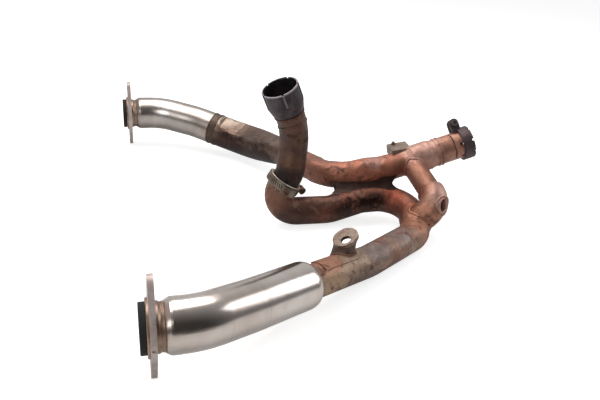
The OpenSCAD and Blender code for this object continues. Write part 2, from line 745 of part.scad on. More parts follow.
module outlet_profile(ri) {
    rotate_extrude() polygon([[ri, 0], [outlet_r, 0], [outlet_r, outlet_bead - 2.2],
        [outlet_r + bead_h, outlet_bead - 0.8], [outlet_r + bead_h, outlet_bead + 0.8],
        [outlet_r, outlet_bead + 2.2], [outlet_r, outlet_groove - 1.6],
        [outlet_r - groove_h, outlet_groove - 0.5], [outlet_r - groove_h, outlet_groove + 0.5],
        [outlet_r, outlet_groove + 1.6], [outlet_r, outlet_len], [ri, outlet_len]]);
}

module outlet_pipe() {
    color("#a8735a") aim_side(outlet_pos, far_end_dir, outlet_side) difference() {
        outlet_profile(outlet_ri);
        for (k = [0 : outlet_slots - 1]) rotate([0, 0, (k + 0.5) * 360 / outlet_slots])
            translate([0, -outlet_slot_w / 2, outlet_len - outlet_slot_len])
                cube([outlet_r + 2, outlet_slot_w, outlet_slot_len + 1]);
    }
}

outlet_band_z = outlet_len - band_w - 0.5;
outlet_band_r = outlet_r + band_t;
outlet_ear_r = 6.5;
outlet_ear_t = 4;
outlet_ear_h = outlet_band_r + 8;
outlet_ear_z = 0.5;

module outlet_frame() {
    aim_side(outlet_pos + far_end_dir * outlet_band_z, far_end_dir, outlet_side) children();
}

module outlet_band() {
    color("#4c454a") outlet_frame() difference() {
        band(outlet_band_r, outlet_r, band_w, band_gap);
        // Notches in the outer edge.
        for (a = [45 : 45 : 315]) rotate([0, 0, a]) translate([outlet_r - 1, -1.5, band_w - 2.5])
            cube([band_t + 2, 3, 4]);
    }
}

// Cast ears beside the band's gap: their feet reach down to the pipe beyond the band's edge.
module outlet_band_lugs() {
    color("#5b5154") outlet_frame() for (s = [-1, 1]) difference() {
        translate([0, s * (band_gap + outlet_ear_t) / 2, outlet_ear_z]) union() {
            translate([0, -outlet_ear_t / 2, -outlet_ear_r])
                cube([outlet_ear_h, outlet_ear_t, 2 * outlet_ear_r]);
            translate([outlet_ear_h, 0, 0]) rotate([90, 0, 0])
                cylinder(h = outlet_ear_t, r = outlet_ear_r, center = true);
        }
        translate([outlet_ear_h, 0, outlet_ear_z]) rotate([90, 0, 0])
            cylinder(h = band_gap + 4 * outlet_ear_t, d = clamp_bolt_d + 0.4, center = true);
        cylinder(h = 60, r = outlet_r + 0.2, center = true);
        cylinder(h = 30, r = outlet_band_r);
    }
}

// The bolt's head faces the near side.
module outlet_bolt() {
    color("#6c6260") outlet_frame() translate([outlet_ear_h, 0, outlet_ear_z]) rotate([-90, 0, 0]) {
        translate([0, 0, -band_gap / 2 - outlet_ear_t - 6])
            cylinder(h = band_gap + 2 * outlet_ear_t + 6, d = clamp_bolt_d);
        translate([0, 0, band_gap / 2 + outlet_ear_t]) difference() {
            cylinder(h = 5, d = clamp_bolt_d * 1.6);
            translate([0, 0, 2.5]) cylinder(h = 4, d = clamp_bolt_d * 0.85, $fn = 6);
        }
    }
}

module outlet_nut() {
    color("#6c6260") outlet_frame() translate([outlet_ear_h, 0, outlet_ear_z]) rotate([-90, 0, 0])
        translate([0, 0, -band_gap / 2 - outlet_ear_t - 5]) difference() {
            cylinder(h = 5, d = clamp_bolt_d * 1.8, $fn = 6);
            translate([0, 0, -1]) cylinder(h = 7, d = clamp_bolt_d);
        }
}

// Brackets.
// The tab stands on the collector's crest and reaches back from there.
tab_dir = unit(far_end_dir - [0, 0, 0.16]);
tab_up = unit([0, 0, 1] - tab_dir * tab_dir[2]);
tab_pos = collector_pos + far_end_dir * 7 + tab_up * (mid_r + 1);
tab_skirt = 10;
tab_lip = 5;

module tab_bracket() {
    color("#9c9188") difference() {
        aim_side(tab_pos, tab_up, tab_dir) translate([-tab_len / 2, 0, 0]) {
            cube([tab_len, tab_w, tab_t]);
            translate([0, 0, -tab_lip]) cube([tab_len, tab_t, tab_lip]);
            translate([0, 0, -tab_skirt]) cube([tab_t, tab_w, tab_skirt]);
        }
        collector_solid();
        far_mid_shape(mid_r, 0);
    }
}

module tab_stud() {
    color("#8d8279") aim_side(tab_pos, tab_up, tab_dir)
        translate([-tab_len / 2 + 9, tab_w - 4, tab_t]) {
            cylinder(h = 2, d = 6);
            cylinder(h = 4, d = 3.6);
        }
}

eye_dir = unit([-0.42, -0.05, 0.9]);
eye_side = [-0.25, -1, 0];
eye_along = 159;
// The post's foot stands this far back along the pipe, and this far behind the pipe's axis.
foot_back = 26;
foot_behind = 11.5;
saddle_along = 120;
near_dir = leg_dir(near_pts, 2);
near_run = leg_start(near_pts, near_rad, 2);
eye_hole = near_run + near_dir * eye_along + eye_dir * eye_rise;
eye_r = eye_d / 2;
// The hole sits off the head's centre, towards the near side.
hole_off = 5.5;
eye_front = unit(eye_side - eye_dir * (eye_side * eye_dir));
eye_centre = eye_hole - eye_front * hole_off;
post_foot = near_run + near_dir * (eye_along - foot_back) + [0, foot_behind, 0];
post_dir = unit(eye_centre - post_foot);
post_r = eye_r - 0.5;
saddle_seat = 0.1;
saddle_r = pipe_r + saddle_seat + saddle_t;
saddle_arc = 35;

// Sheet wrapped over the top of the pipe.
module eye_saddle() {
    color("#93765f") aim_side(near_run + near_dir * (saddle_along - saddle_len / 2), near_dir, [0, 0.1, 1])
        rotate([0, 0, -saddle_arc]) rotate_extrude(angle = 2 * saddle_arc)
            translate([pipe_r + saddle_seat, 0]) square([saddle_t, saddle_len]);
}

module near_sleeve_cut() {
    aim(near_run + near_dir * (eye_along - 60), near_dir) cylinder(r = saddle_r, h = 110);
}

// Post of bent sheet: round in front, open behind, cut off under the tilted head.
module eye_post() {
    color("#5a4a40") difference() {
        aim_side(post_foot, post_dir, eye_side) linear_extrude(height = 60) difference() {
            circle(r = post_r);
            circle(r = post_r - post_wall);
            translate([-2 * eye_r, -eye_r]) square([2 * eye_r - 3, 2 * eye_r]);
        }
        near_sleeve_cut();
        aim(eye_centre - eye_dir * eye_plate_t, eye_dir) cylinder(r = 60, h = 80);
    }
}

// Head plate with the bolt hole and a knurled rim on its back.
module eye_plate() {
    teeth = 32;
    color("#a99f92") aim_side(eye_centre - eye_dir * eye_plate_t, eye_dir, eye_side)
        linear_extrude(height = eye_plate_t) difference() {
            circle(r = eye_r);
            for (k = [17 : 26]) rotate([0, 0, k * 360 / teeth]) translate([eye_r + 0.3, 0])
                rotate([0, 0, 45]) square(1.8, center = true);
            translate([hole_off, 0]) circle(d = eye_hole_d);
        }
}

// Weld bead round the foot of the post, on the saddle.
module eye_weld() {
    color("#7b5f4e") difference() {
        aim_side(post_foot, post_dir, eye_side) linear_extrude(height = saddle_r + 3) difference() {
            circle(r = post_r + weld_h);
            circle(r = post_r);
            translate([-2 * eye_r, -eye_r]) square([2 * eye_r, 2 * eye_r]);
        }
        near_sleeve_cut();
    }
}

near_flange();
near_gasket();
near_neck();
near_cover();
near_end_ring();
near_pipe();
near_return_bend();
under_pipe();
stub_elbow();
elbow_band();
elbow_band_lugs();
elbow_bolt();
elbow_nut();
elbow_band_tab();
elbow_band_rivet();
stub_pipe();
slotted_sleeve();
sleeve_weld();
far_flange();
far_gasket();
far_neck();
far_cover();
far_pipe();
far_band();
far_wide_pipe();
far_mid_pipe();
pipe_web();
collector();
outlet_pipe();
outlet_band();
outlet_band_lugs();
outlet_bolt();
outlet_nut();
crossover_pipe();
crossover_cup();
cup_weld();
sensor_boss();
tab_bracket();
tab_stud();
eye_saddle();
eye_post();
eye_plate();
eye_weld();
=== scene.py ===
from math import atan2, cos, pi, radians, sin, sqrt

import bpy
from mathutils import Matrix, Vector, noise
from mathutils.bvhtree import BVHTree


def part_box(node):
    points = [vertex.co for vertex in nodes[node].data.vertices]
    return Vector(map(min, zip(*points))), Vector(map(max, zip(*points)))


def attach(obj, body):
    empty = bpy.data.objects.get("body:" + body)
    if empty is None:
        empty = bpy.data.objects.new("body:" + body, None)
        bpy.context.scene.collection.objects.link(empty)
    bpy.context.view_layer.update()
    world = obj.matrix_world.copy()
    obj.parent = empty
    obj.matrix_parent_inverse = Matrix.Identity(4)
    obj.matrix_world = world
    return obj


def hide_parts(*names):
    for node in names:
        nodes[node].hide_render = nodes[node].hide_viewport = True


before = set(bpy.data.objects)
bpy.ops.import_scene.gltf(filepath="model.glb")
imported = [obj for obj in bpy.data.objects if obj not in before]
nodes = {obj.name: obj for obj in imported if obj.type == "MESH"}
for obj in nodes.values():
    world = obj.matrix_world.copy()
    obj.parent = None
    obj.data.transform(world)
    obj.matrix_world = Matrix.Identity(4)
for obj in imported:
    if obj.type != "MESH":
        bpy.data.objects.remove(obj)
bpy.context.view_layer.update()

# The camera looks along the header from above its near port, turned a little and tilted.
# Its place and lens were fitted to the covers' and flanges' outlines in the photograph.
camera_place = Vector((-0.0131, -0.454, 0.3445))
turn_right, look_down, roll = radians(17.45), radians(25.62), radians(4.32)
forward = Vector((sin(turn_right) * cos(look_down), cos(turn_right) * cos(look_down), -sin(look_down)))
level = Vector((cos(turn_right), -sin(turn_right), 0))
upright = level.cross(forward)
right = level * cos(roll) + upright * sin(roll)
up = upright * cos(roll) - level * sin(roll)
camera = bpy.data.objects.new("camera", bpy.data.cameras.new("camera"))
bpy.context.scene.collection.objects.link(camera)
camera.matrix_world = Matrix.Translation(camera_place) @ Matrix((right, up, -forward)).transposed().to_4x4()
camera.data.sensor_width = 36
camera.data.lens = 37.2
camera.data.clip_start = 0.01
bpy.context.scene.camera = camera

# The studio is a white table under a large soft lamp, with a smaller one at the front.
# The room in front stays dark, so the polished covers carry a dark band.
table_z = -0.0545
bpy.ops.object.select_all(action="DESELECT")
bpy.ops.mesh.primitive_plane_add(size=8, location=(0.2, 0.3, table_z))
table = bpy.context.object
table.name = "table"


def paper(obj, name, lit, mirrored):
    """White that the camera and the polished metal see lit, and that still takes the shadow."""
    mat = bpy.data.materials.new(name)
    mat.use_nodes = True
    tree = mat.node_tree
    tree.nodes.clear()
    out = tree.nodes.new("ShaderNodeOutputMaterial")
    add = tree.nodes.new("ShaderNodeAddShader")
    cloth = tree.nodes.new("ShaderNodeBsdfDiffuse")
    cloth.inputs["Color"].default_value = (0.6, 0.6, 0.6, 1)
    glow = tree.nodes.new("ShaderNodeEmission")
    seen = tree.nodes.new("ShaderNodeLightPath")
    strength = tree.nodes.new("ShaderNodeMath")
    strength.operation = "MULTIPLY_ADD"
    strength.inputs[1].default_value = lit
    gloss = tree.nodes.new("ShaderNodeMath")
    gloss.operation = "MULTIPLY"
    gloss.inputs[1].default_value = mirrored
    tree.links.new(seen.outputs["Is Glossy Ray"], gloss.inputs[0])
    tree.links.new(gloss.outputs[0], strength.inputs[2])
    tree.links.new(seen.outputs["Is Camera Ray"], strength.inputs[0])
    tree.links.new(strength.outputs[0], glow.inputs["Strength"])
    tree.links.new(cloth.outputs[0], add.inputs[0])
    tree.links.new(glow.outputs[0], add.inputs[1])
    tree.links.new(add.outputs[0], out.inputs["Surface"])
    obj.data.materials.append(mat)


paper(table, "table_paper", 0.74, 0.16)


def soft_lamp(name, place, target, size, watts, tint):
    """A soft rectangular lamp that shines from its place at a target."""
    lamp = bpy.data.lights.new(name, "AREA")
    lamp.shape = "RECTANGLE"
    lamp.size, lamp.size_y = size
    lamp.energy = watts
    lamp.color = tint
    obj = bpy.data.objects.new(name, lamp)
    bpy.context.scene.collection.objects.link(obj)
    obj.location = place
    obj.rotation_euler = (Vector(target) - Vector(place)).to_track_quat("-Z", "Y").to_euler()


soft_lamp("top_lamp", (0.0, 0.75, 1.35), (0.22, 0.25, 0), (1.5, 1.1), 21, (1, 0.985, 0.96))
soft_lamp("front_lamp", (-0.85, -0.9, 0.95), (0.2, 0.25, 0), (0.8, 0.8), 9, (1, 0.99, 0.98))
soft_lamp("side_lamp", (1.5, 0.1, 0.75), (0.3, 0.25, 0), (0.7, 0.9), 6, (0.97, 0.98, 1))

world = bpy.data.worlds.new("studio")
bpy.context.scene.world = world
world.use_nodes = True
sky = world.node_tree
sky.nodes.clear()
sky_out = sky.nodes.new("ShaderNodeOutputWorld")
dim = sky.nodes.new("ShaderNodeBackground")
white = sky.nodes.new("ShaderNodeBackground")
white.inputs["Color"].default_value = (1, 1, 1, 1)
white.inputs["Strength"].default_value = 1
ray = sky.nodes.new("ShaderNodeLightPath")
which = sky.nodes.new("ShaderNodeMixShader")
facing = sky.nodes.new("ShaderNodeTexCoord")
split = sky.nodes.new("ShaderNodeSeparateXYZ")
shade = sky.nodes.new("ShaderNodeMapRange")
shade.inputs["From Min"].default_value = -0.75
shade.inputs["From Max"].default_value = 0.7
shade.inputs["To Min"].default_value = 0.05
shade.inputs["To Max"].default_value = 0.75
sky.links.new(facing.outputs["Generated"], split.inputs[0])
sky.links.new(split.outputs["Y"], shade.inputs["Value"])
sky.links.new(shade.outputs["Result"], dim.inputs["Strength"])
sky.links.new(ray.outputs["Is Camera Ray"], which.inputs[0])
sky.links.new(dim.outputs[0], which.inputs[1])
sky.links.new(white.outputs[0], which.inputs[2])
sky.links.new(which.outputs[0], sky_out.inputs["Surface"])
bpy.context.scene.view_settings.view_transform = "Standard"


# The heat covers are thin stainless sheet, polished bright, with fine lengthwise wipe marks.
# The heat has browned them next to the flange and at their far ends.
class Value:
    """A shader value; sums and products with it add their Math nodes."""

    def __init__(self, tree, out):
        self.tree, self.out = tree, out

    def maths(self, operation, *others):
        """A Math node on the other values, in the order of its sockets."""
        n = self.tree.nodes.new("ShaderNodeMath")
        n.operation = operation
        for socket, v in zip(n.inputs, others):
            if isinstance(v, Value):
                self.tree.links.new(v.out, socket)
            else:
                socket.default_value = v
        return Value(self.tree, n.outputs[0])

    def __add__(self, v):
        return self.maths("ADD", self, v)

    __radd__ = __add__

    def __sub__(self, v):
        return self.maths("SUBTRACT", self, v)

    def __rsub__(self, v):
        return self.maths("SUBTRACT", v, self)

    def __mul__(self, v):
        return self.maths("MULTIPLY", self, v)

    __rmul__ = __mul__

    def __abs__(self):
        return self.maths("ABSOLUTE", self)

    def clip(self):
        n = self.maths("MINIMUM", self, 1.0)
        return n.maths("MAXIMUM", n, 0.0)


class Finish:
    """A metal's surface, built node by node."""

    def __init__(self, name):
        self.mat = bpy.data.materials.new(name)
        self.mat.use_nodes = True
        self.tree = self.mat.node_tree
        self.shader = self.tree.nodes["Principled BSDF"]
        place = self.tree.nodes.new("ShaderNodeTexCoord")
        self.place = Value(self.tree, place.outputs["Object"])

    def node(self, kind, settings=None, output=0, **sockets):
        """A node with its settings and sockets; _0 is the first socket, From_Min the one of that name."""
        n = self.tree.nodes.new(kind)
        for k, v in (settings or {}).items():
            setattr(n, k, v)
        for k, v in sockets.items():
            s = n.inputs[int(k[1:])] if k[0] == "_" else n.inputs[k.replace("_", " ")]
            if isinstance(v, Value):
                self.tree.links.new(v.out, s)
            elif isinstance(v, tuple):
                s.default_value = (*v, 1) if len(s.default_value) == 4 else v
            else:
                s.default_value = v
        return Value(self.tree, n.outputs[output])

    def stretched(self, turn, size):
        """The place on the header, turned and scaled, for a pattern that runs one way."""
        return self.node("ShaderNodeMapping", _0=self.place, Rotation=turn, Scale=size)

    def noise(self, scale, detail=3, rough=0.55, at=None, twist=0.0):
        """Noise over the header, finer with a larger scale."""
        return self.node("ShaderNodeTexNoise", _0=at or self.place, Scale=scale, Detail=detail,
                         Roughness=rough, Distortion=twist)

    def between(self, value, low, high):
        """0 below low, 1 above high."""
        return self.node("ShaderNodeMapRange", {"interpolation_type": "SMOOTHSTEP"}, Value=value,
                         From_Min=low, From_Max=high)

    def spot(self, centre, radius):
        """1 at a place on the header, 0 past the radius; both in mm."""
        far = self.node("ShaderNodeVectorMath", {"operation": "DISTANCE"}, output=1,
                        _0=self.place, _1=tuple(c / 1000 for c in centre))
        return self.between(far, radius / 1000, 0.0)

    def along(self, direction, start):
        """Metres from the start point in a direction."""
        far = self.node("ShaderNodeVectorMath", {"operation": "DOT_PRODUCT"}, output=1,
                        _0=self.place, _1=tuple(direction))
        return far - direction.dot(start)

    def mixed(self, share, a, b):
        """Colour a where the share is 0, b where it is 1."""
        return self.node("ShaderNodeMix", {"data_type": "RGBA"}, output=2, _0=share, _6=a, _7=b)

    def finish(self, colour, rough, metal, bump, depth):
        """The material; depth is the bump's height in metres."""
        relief = self.node("ShaderNodeBump", Strength=1.0, Distance=depth, Height=bump)
        for k, v in (("Base Color", colour), ("Roughness", rough), ("Metallic", metal), ("Normal", relief)):
            if isinstance(v, Value):
                self.tree.links.new(v.out, self.shader.inputs[k])
            else:
                self.shader.inputs[k].default_value = v
        return self.mat


def rgb(r, g, b):
    """A colour as it is seen, 0 to 255, in the shader's linear values."""
    return tuple((v / 255 / 12.92) if v <= 10 else ((v / 255 + 0.055) / 1.055) ** 2.4 for v in (r, g, b))


def dress(node, mat):
    """Give a CAD node one finish all over."""
    nodes[node].data.materials.clear()
    nodes[node].data.materials.append(mat)


def polished_cover(name, brown_spots, light, dull, haze):
    """Brushed bright sheet; brown_spots: (centre, radius) of the browned places in mm."""
    f = Finish(name)
    wipes = f.noise(1, 3, 0.6, at=f.stretched((0, 0, radians(-29)), (40, 900, 900)))
    cloud = f.noise(16, 4, 0.6)
    colour = f.mixed(f.between(cloud, 0.3, 0.7), light, dull)
    browned = sum(f.spot(*spot) * f.between(f.noise(60, 3), 0.2, 0.75) for spot in brown_spots).clip()
    colour = f.mixed(browned, colour, rgb(150, 116, 88))
    rough = haze + 0.10 * cloud + 0.06 * wipes + 0.12 * browned
    return f.finish(colour, rough, 1.0, bump=wipes + 6 * f.noise(9, 2), depth=0.00004)


dress("near_cover", polished_cover("near_cover_polish", [((20, 0, 0), 34), ((168, 70, -18), 34)],
                                   rgb(216, 208, 202), rgb(194, 182, 174), 0.12))
dress("far_cover", polished_cover("far_cover_polish", [((20, 600, 0), 34), ((134, 545, -26), 44)],
                                  rgb(186, 180, 176), rgb(158, 148, 141), 0.21))


# The flanges are thick stamped stainless plates, dull and stained a little brown by heat.
# The necks inside them are turned from the same steel and have gone brown.
def stained_plate(name, light, stain, rough, metal):
    """Dull plate: light where it is clean, stained in patches, with small rust-brown marks."""
    f = Finish(name)
    grime = f.noise(45, 5, 0.65)
    fine = f.noise(420, 2)
    colour = f.mixed(f.between(grime, 0.35, 0.72), light, stain)
    colour = f.mixed(0.35 * f.between(f.noise(140, 3), 0.55, 0.8), colour, rgb(92, 66, 50))
    return f.finish(colour, rough + 0.25 * grime, metal, bump=fine + grime, depth=0.00012)


flange_plate = stained_plate("flange_plate", rgb(196, 184, 180), rgb(162, 144, 134), 0.34, 0.45)
neck_steel = stained_plate("neck_steel", rgb(168, 144, 126), rgb(122, 98, 84), 0.26, 0.85)
for side in ("near", "far"):
    dress(side + "_flange", flange_plate)
    dress(side + "_neck", neck_steel)


# The crush gaskets are wound metal rings packed with graphite, pressed between the neck and
# the engine's port. They are black and sooty all over, with no shine.
gasket = Finish("gasket_graphite")
grain = gasket.noise(700, 3, 0.7)
black_ring = gasket.finish(gasket.mixed(grain, rgb(14, 14, 15), rgb(38, 37, 37)), 0.72 + 0.2 * grain, 0.0,
                           bump=grain, depth=0.0003)
dress("near_gasket", black_ring)
dress("far_gasket", black_ring)


# The pipes are stainless tube, coloured by heat: tan where cooler and rusty orange at the
# junctions. Their undersides, the turn under the far pipe and the crevice between the pipes are
# painted dark brown to nearly black as painted shade. All of them share one finish whose colours
# follow the place on the header, so it runs on across the joints.
def burnt_tube(name, base, second, dark, rust, zones=(), rough=0.34, metal=0.7, mottle=1.0, lumps=1.0,
               calm=None):
    """Steel mottled by heat. zones: (centre in mm, radius in mm, colour, strength) laid over it,
    for heat colours and for painted shade and highlights; calm: (centre, radius) of a place with fewer dark
    marks."""
    f = Finish(name)
    broad = f.noise(13, 4, 0.6, twist=0.6)
    patch = f.noise(48, 6, 0.7, twist=0.8)
    blotch = f.noise(90, 5, 0.72, twist=0.5)
    speck = f.noise(300, 4, 0.7)
    dust = f.noise(900, 2)
    colour = f.mixed(f.between(broad, 0.36, 0.66), base, second)
    for centre, radius, tone, strength in zones:
        share = f.spot(centre, radius) * 1.2 + 1.5 * (patch - 0.5)
        colour = f.mixed(strength * f.between(share, 0.05, 0.7), colour, tone)
    marked = mottle * (1 - 0.75 * f.between(f.spot(*calm), 0.0, 0.5)) if calm else mottle
    colour = f.mixed(0.72 * marked * f.between(patch + 0.4 * blotch, 0.72, 0.9), colour, dark)
    colour = f.mixed(0.4 * mottle * f.between(broad + 0.5 * blotch, 0.78, 1.0), colour, rust)
    colour = f.mixed(0.7 * marked * f.between(speck, 0.56, 0.7), colour, dark)
    colour = f.mixed(0.30 * f.between(dust, 0.56, 0.75), colour, tuple(0.45 * c for c in dark))
    rusty = f.between(patch, 0.4, 0.7)
    grit = 2.2 * patch + 1.2 * blotch + 0.7 * speck + 0.3 * dust
    relief = 7 * lumps * f.noise(36, 2, 0.5) + min(1, mottle) * grit
    haze = 0.16 * min(1, mottle) * (rusty + speck)
    return f.finish(colour, rough + haze, metal, bump=relief, depth=0.0005)


tan, olive = rgb(160, 137, 118), rgb(136, 112, 97)
umber, orange = rgb(70, 47, 39), rgb(160, 92, 66)
# The first brown below is painted shade for the crevice between the crossing pipes.
crevice_shade_brown, rust_red = rgb(38, 26, 23), rgb(128, 64, 46)

header_zones = (
    # the rear half has been hotter and is browner all over
    ((335, 290, -10), 210, rgb(134, 88, 70), 1.0),
    # the near pipe, from its cover to the corner
    ((185, 84, 2), 40, rgb(172, 120, 98), 0.8),
    ((196, 62, -24), 34, rgb(170, 142, 114), 0.7),
    ((264, 120, -6), 40, rgb(118, 106, 104), 0.75),
    ((306, 150, -12), 34, rgb(128, 114, 112), 0.7),
    # the two dark browns low on the near pipe are painted shade on its underside
    ((240, 100, -52), 56, rgb(88, 68, 58), 0.8),
    ((290, 138, -58), 56, rgb(82, 64, 58), 0.8),
    ((352, 186, -20), 46, rgb(176, 124, 100), 0.8),
    # the return bend and the pipe under the far one; the dark browns under the far pipe,
    # low on the bend and in the crevice between the pipes are painted shade
    ((296, 262, -44), 84, rgb(64, 44, 37), 1.0),
    ((230, 262, -56), 60, rgb(84, 58, 49), 0.9),
    ((376, 244, -24), 60, rgb(134, 82, 64), 1.0),
    ((354, 258, -14), 36, rust_red, 1.0),
    ((340, 226, -46), 44, rgb(96, 58, 46), 0.8),
    ((300, 256, -20), 46, crevice_shade_brown, 1.0),
    # the elbow under the stub; the dark brown at its bottom is painted shade
    ((156, 262, -26), 50, rgb(138, 94, 72), 0.9),
    ((184, 246, -14), 44, rgb(116, 80, 64), 0.9),
    ((230, 256, -24), 40, rgb(92, 62, 52), 0.9),
    ((196, 250, -48), 44, rgb(74, 54, 50), 0.9),
    # the far pipe's middle run; the pale pinkish grey on its top is a painted highlight, and the
    # dark browns on its underside and down towards the pipe below are painted shade
    ((262, 330, 8), 66, rgb(138, 92, 76), 0.9),
    ((310, 290, 22), 68, rgb(164, 104, 82), 1.0),
    ((236, 352, -30), 42, rgb(70, 44, 38), 0.95),
    ((262, 280, -22), 30, rgb(66, 41, 36), 1.0),
    ((322, 282, 30), 22, rgb(164, 126, 118), 0.7),
    ((300, 286, -16), 36, rgb(54, 36, 32), 1.0),
    ((345, 282, -12), 26, rgb(60, 40, 35), 1.0),
    # the collector, the outlet and the crossover
    ((392, 284, 44), 48, rgb(186, 144, 130), 1.0),
    ((446, 280, 52), 46, rgb(168, 122, 104), 0.9),
    ((382, 246, 10), 44, rgb(148, 102, 84), 0.9),
    ((404, 240, 8), 18, rgb(166, 98, 74), 0.7),
    ((388, 204, 2), 36, rgb(182, 144, 130), 0.9),
    ((366, 206, -30), 32, rgb(156, 108, 88), 0.8))
header_steel = burnt_tube("header_steel", tan, olive, umber, orange, header_zones, mottle=1.1, lumps=1.3,
                          calm=((404, 262, 30), 105))
for part in ("near_pipe", "eye_saddle", "near_return_bend", "under_pipe", "pipe_web", "stub_elbow",
             "far_mid_pipe", "collector", "outlet_pipe", "crossover_pipe", "crossover_cup", "sensor_boss"):
    dress(part, header_steel)

# The far side's wide section, and the pipe in its cover, are smoother tube with a dull sheen:
# paler on the pressed flat, partly as a painted highlight, and painted nearly black below it
# where the pipe turns down, as painted shade.
wide_zones = (
    ((160, 545, 14), 46, rgb(142, 128, 116), 0.85),
    ((156, 522, -44), 66, rgb(66, 48, 42), 1.0),
    ((186, 482, -52), 72, rgb(48, 34, 30), 1.0),
    ((206, 440, -42), 64, rgb(44, 31, 28), 1.0),
    ((244, 380, -6), 50, rgb(112, 78, 64), 0.9))
wide_steel = burnt_tube("wide_pipe_steel", rgb(126, 104, 93), rgb(104, 84, 74), umber, rgb(146, 92, 68),
                        wide_zones, rough=0.32, metal=0.85, mottle=0.22, lumps=0.35)
dress("far_wide_pipe", wide_steel)
dress("far_pipe", wide_steel)

# The stub pipe that stands in the elbow is darker, brown going to black at its foot. The end
# ring and the far band, which close the covers on the pipes, are rolled from the same sheet.
stub_zones = (
    ((200, 262, 92), 26, rgb(116, 84, 68), 0.6),
    ((205, 258, 70), 14, rgb(118, 92, 68), 0.5),
    ((196, 250, 44), 16, rgb(104, 82, 62), 0.5),
    ((190, 262, 22), 26, rgb(36, 27, 29), 0.9))
stub_steel = burnt_tube("stub_steel", rgb(74, 58, 56), rgb(88, 68, 61), rgb(40, 31, 31), rgb(118, 82, 60),
                        stub_zones)
dress("stub_pipe", stub_steel)
dress("near_end_ring", burnt_tube("end_ring_steel", rgb(150, 128, 112), rgb(118, 94, 80), umber, orange))
dress("far_band", burnt_tube("far_band_steel", rgb(92, 76, 66), rgb(56, 44, 39), umber, orange, rough=0.28))

# The slotted sleeve at the stub's top is darker, dull grey steel. Its rim and the edges of
# the groove at its front are painted paler.
stub_bend, sleeve_mouth = Vector((0.204, 0.277, 0.078)), Vector((0.177, 0.269, 0.138))
sleeve_axis = (sleeve_mouth - stub_bend).normalized()
sleeve_front = (Vector((-0.14, -1, 0)) - sleeve_axis * sleeve_axis.dot((-0.14, -1, 0))).normalized()


def sleeve_finish():
    """Dull grey with a paler rim and a pale line down the groove."""
    f = Finish("sleeve_steel")
    patch, speck = f.noise(60, 5, 0.7), f.noise(400, 3)
    colour = f.mixed(f.between(patch, 0.35, 0.65), rgb(82, 73, 76), rgb(56, 49, 52))
    colour = f.mixed(0.6 * f.between(speck, 0.55, 0.75), colour, rgb(32, 28, 30))
    height = f.along(sleeve_axis, sleeve_mouth)
    across = abs(f.along(sleeve_axis.cross(sleeve_front), sleeve_mouth))
    front = f.between(f.along(sleeve_front, sleeve_mouth), 0.012, 0.02)
    ridge = f.between(across, 0.0016, 0.0011) * f.between(height, -0.021, -0.019) * front
    colour = f.mixed(0.55 * ridge, colour, rgb(150, 144, 150))
    colour = f.mixed(0.75 * f.between(height + 0.002 * patch, -0.0012, 0.0006), colour, rgb(160, 152, 162))
    return f.finish(colour, 0.36 + 0.2 * patch, 0.75, bump=3 * patch + speck, depth=0.0003)


dress("slotted_sleeve", sleeve_finish())

# The elbow's clamp is a worm-drive band: bright steel strip with a row of slanted slots that
# the screw bites in, gone grey-brown, and painted darker along its edges. The slots are painted
# near black as painted shade in the holes.
elbow_axis = Vector((15, -1.8, 26)).normalized()
slot_count, slot_slant = 46, 700
elbow_band_lo, elbow_band_hi = (Vector(v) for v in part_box("elbow_band"))
elbow_band_mid = (elbow_band_lo + elbow_band_hi) / 2


def worm_band():
    """Grey strip with slanted slots round it and dark edges."""
    f = Finish("worm_band_steel")
    side = elbow_axis.orthogonal().normalized()
    u, v = f.along(side, elbow_band_mid), f.along(elbow_axis.cross(side), elbow_band_mid)
    height = f.along(elbow_axis, elbow_band_mid)
    turned = v.maths("ARCTAN2", v, u)
    wave = turned.maths("SINE", slot_count * turned + slot_slant * height)
    edge = abs(height)
    slots = f.between(wave, 0.1, 0.4) * f.between(edge, 0.0034, 0.0024)
    patch, speck = f.noise(70, 5, 0.7), f.noise(420, 3)
    colour = f.mixed(f.between(patch, 0.35, 0.65), rgb(150, 138, 126), rgb(112, 97, 86))
    colour = f.mixed(0.7 * f.between(speck + 0.4 * patch, 0.74, 0.95), colour, rgb(66, 51, 43))
    colour = f.mixed(0.6 * f.between(edge, 0.0042, 0.0052), colour, rgb(52, 41, 36))
    # The slots are painted near black: painted shade in the holes.
    colour = f.mixed(0.85 * slots, colour, rgb(28, 22, 20))
    return f.finish(colour, 0.36 + 0.3 * patch, 0.8, bump=patch + speck - 3 * slots, depth=0.0004)


dress("elbow_band", worm_band())

# The clamps' ears, bolts and nuts and the brackets are plain mild steel, weathered grey with
# rust in the corners. The welds between the pipes are the same steel gone brown.
dark_clamp = burnt_tube("dark_clamp_steel", rgb(96, 80, 82), rgb(70, 59, 62), rgb(36, 30, 32),
                        rgb(116, 88, 78), rough=0.42)
clamp_screw = burnt_tube("clamp_screw_steel", rgb(122, 110, 108), rgb(98, 88, 88), rgb(50, 42, 42),
                         rgb(122, 92, 78))
light_clamp = burnt_tube("light_clamp_steel", rgb(142, 128, 114), rgb(110, 95, 84), rgb(56, 44, 38),
                         rgb(126, 88, 66))
rusty_bolt = burnt_tube("rusty_bolt_steel", rgb(112, 80, 67), rgb(88, 63, 54), rgb(50, 36, 31),
                        rgb(146, 92, 68), rough=0.5, metal=0.4)
bracket_steel = burnt_tube("bracket_steel", rgb(136, 118, 105), rgb(114, 97, 86), rgb(66, 53, 46),
                           rgb(136, 102, 82))
weld_steel = burnt_tube("weld_steel", rgb(128, 92, 75), rgb(96, 69, 58), rgb(48, 34, 29),
                        rgb(150, 92, 64), rough=0.4)
